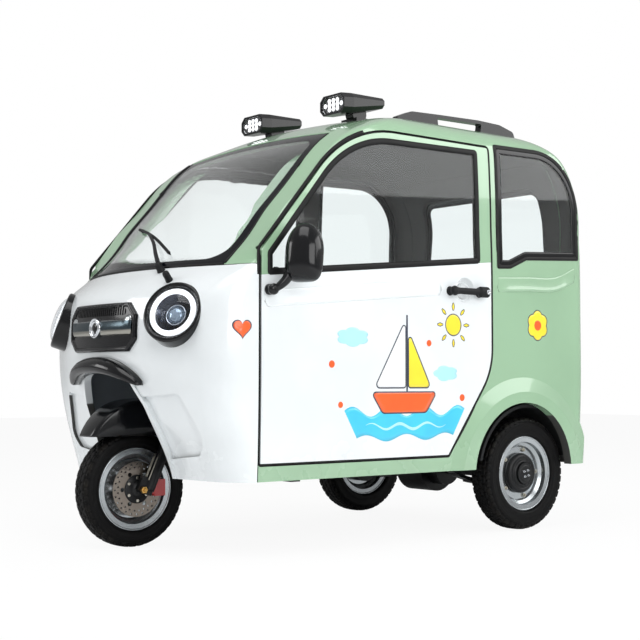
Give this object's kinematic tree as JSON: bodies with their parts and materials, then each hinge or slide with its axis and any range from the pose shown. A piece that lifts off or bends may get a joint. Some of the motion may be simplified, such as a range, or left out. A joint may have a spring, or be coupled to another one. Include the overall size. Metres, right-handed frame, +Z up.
{
  "type": "enclosed electric tricycle",
  "caption": "Enclosed electric tricycle with a pastel green cab, white front cowl and doors, round lamps, one steered front wheel and two driven rear wheels",
  "frame": {"origin": "on the ground, midway along the vehicle and on its middle plane", "axes": "+X is the vehicle's left, +Y points to the rear, +Z is up"},
  "size_m": [1.3884, 2.0519, 1.666],
  "materials": {
    "green_paint": "pastel green gloss paint",
    "white_paint": "white gloss paint",
    "clear_glass": "clear laminated glass",
    "tinted_glass": "tinted glass",
    "lamp_lens": "clear polycarbonate",
    "black_gloss": "black gloss moulding",
    "black_plastic": "black grained plastic",
    "grey_plastic": "grey grained plastic",
    "chassis_black": "black chassis paint",
    "tread_rubber": "tyre rubber",
    "rim_silver": "silver wheel paint",
    "steel": "ground steel",
    "chrome_trim": "bright plated trim",
    "cast_black": "black painted casting",
    "caliper_red": "red enamel",
    "seat_vinyl": "beige seat cover",
    "red_lens": "red lamp moulding"
  },
  "bodies": {
    "body": {"cowl": "white_paint", "side_frame_left": "green_paint", "side_frame_right": "green_paint", "roof_panel": "green_paint", "rear_panel": "green_paint", "windscreen": "clear_glass", "rear_windows": "tinted_glass", "grille": "black_gloss", "grille_bar": "chrome_trim", "eyebrow": "black_gloss", "headlamps": "black_gloss", "headlamp_lenses": "lamp_lens", "front_well": "black_plastic", "dash": "grey_plastic", "floor_pan": "grey_plastic", "rear_housings": "black_plastic", "chassis": "chassis_black", "rear_axle": "cast_black", "leaf_springs": "steel", "seat_box": "grey_plastic", "driver_cushion": "seat_vinyl", "driver_backrest": "seat_vinyl", "bench_cushion": "seat_vinyl", "bench_backrest": "seat_vinyl", "roof_rails": "black_gloss", "roof_lamps": "black_gloss", "roof_lamp_lenses": "lamp_lens", "wiper": "black_plastic", "tail_lamps": "red_lens"},
    "steering": {"fork": "cast_black", "handlebar": "black_plastic", "front_fender": "black_gloss", "caliper": "caliper_red"},
    "front_wheel": {"front_tyre": "tread_rubber", "front_rim": "rim_silver", "front_disc": "steel"},
    "rear_wheel_left": {"rear_tyre_left": "tread_rubber", "rear_rim_left": "rim_silver", "rear_hub_left": "cast_black"},
    "rear_wheel_right": {"rear_tyre_right": "tread_rubber", "rear_rim_right": "rim_silver", "rear_hub_right": "cast_black"},
    "left_door": {"door_left": "white_paint", "window_frame_left": "green_paint", "door_glass_left": "tinted_glass", "door_handle_left": "black_gloss", "mirror_left": "black_gloss"},
    "right_door": {"door_right": "white_paint", "window_frame_right": "green_paint", "door_glass_right": "tinted_glass", "door_handle_right": "black_gloss", "mirror_right": "black_gloss"}
  },
  "joints": [
    {"name": "steering_hinge", "type": "hinge", "parent": "body", "child": "steering", "pos_m": [0, -0.744, 0.204], "axis": [0, 0.4226, 0.9063], "range_deg": [-28, 28]},
    {"name": "front_wheel_spin", "type": "hinge", "parent": "steering", "child": "front_wheel", "pos_m": [0, -0.789, 0.204], "axis": [1, 0, 0], "continuous": true},
    {"name": "rear_wheel_left_spin", "type": "hinge", "parent": "body", "child": "rear_wheel_left", "pos_m": [0.48, 0.686, 0.22], "axis": [1, 0, 0], "continuous": true},
    {"name": "rear_wheel_right_spin", "type": "hinge", "parent": "body", "child": "rear_wheel_right", "pos_m": [-0.48, 0.686, 0.22], "axis": [1, 0, 0], "continuous": true},
    {"name": "left_door_hinge", "type": "hinge", "parent": "body", "child": "left_door", "pos_m": [0.568, -0.631, 0.9], "axis": [0, 0, -1], "range_deg": [0, 65]},
    {"name": "right_door_hinge", "type": "hinge", "parent": "body", "child": "right_door", "pos_m": [-0.568, -0.631, 0.9], "axis": [0, 0, 1], "range_deg": [0, 65]}
  ]
}
